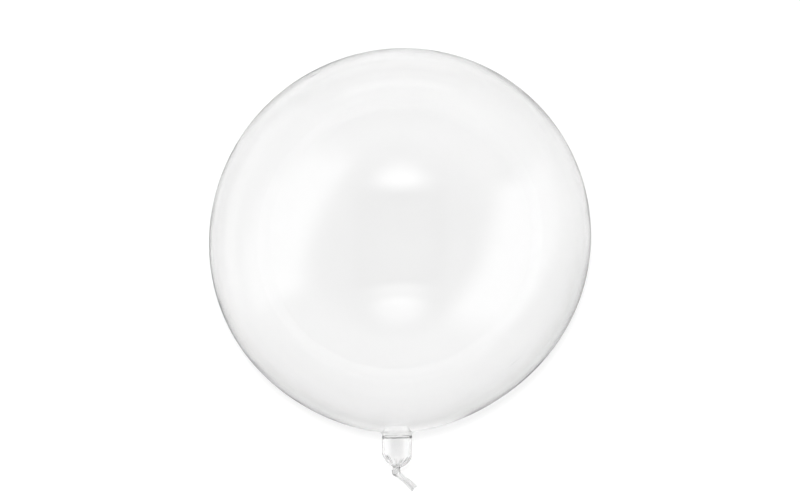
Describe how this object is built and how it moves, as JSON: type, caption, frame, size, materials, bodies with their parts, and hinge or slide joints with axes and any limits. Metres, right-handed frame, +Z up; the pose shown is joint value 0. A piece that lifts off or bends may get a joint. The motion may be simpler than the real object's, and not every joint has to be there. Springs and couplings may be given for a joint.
{
  "type": "clear bubble balloon",
  "caption": "Clear bubble balloon lying on its side: a round film ball with a short straight neck, gathered, twisted shut and left with a pleated tail.",
  "frame": {"origin": "middle of the flat spot that the ball rests on, under the ball's centre", "axes": "+Z up, +Y from the tied neck to the crown along the balloon's length, +X to the right of the neck as seen from above with the neck towards the viewer"},
  "size_m": [0.3998, 0.4647, 0.3979],
  "materials": {
    "clear_film": "clear, glossy plastic film"
  },
  "bodies": {
    "root": {"balloon": "clear_film"}
  },
  "joints": []
}
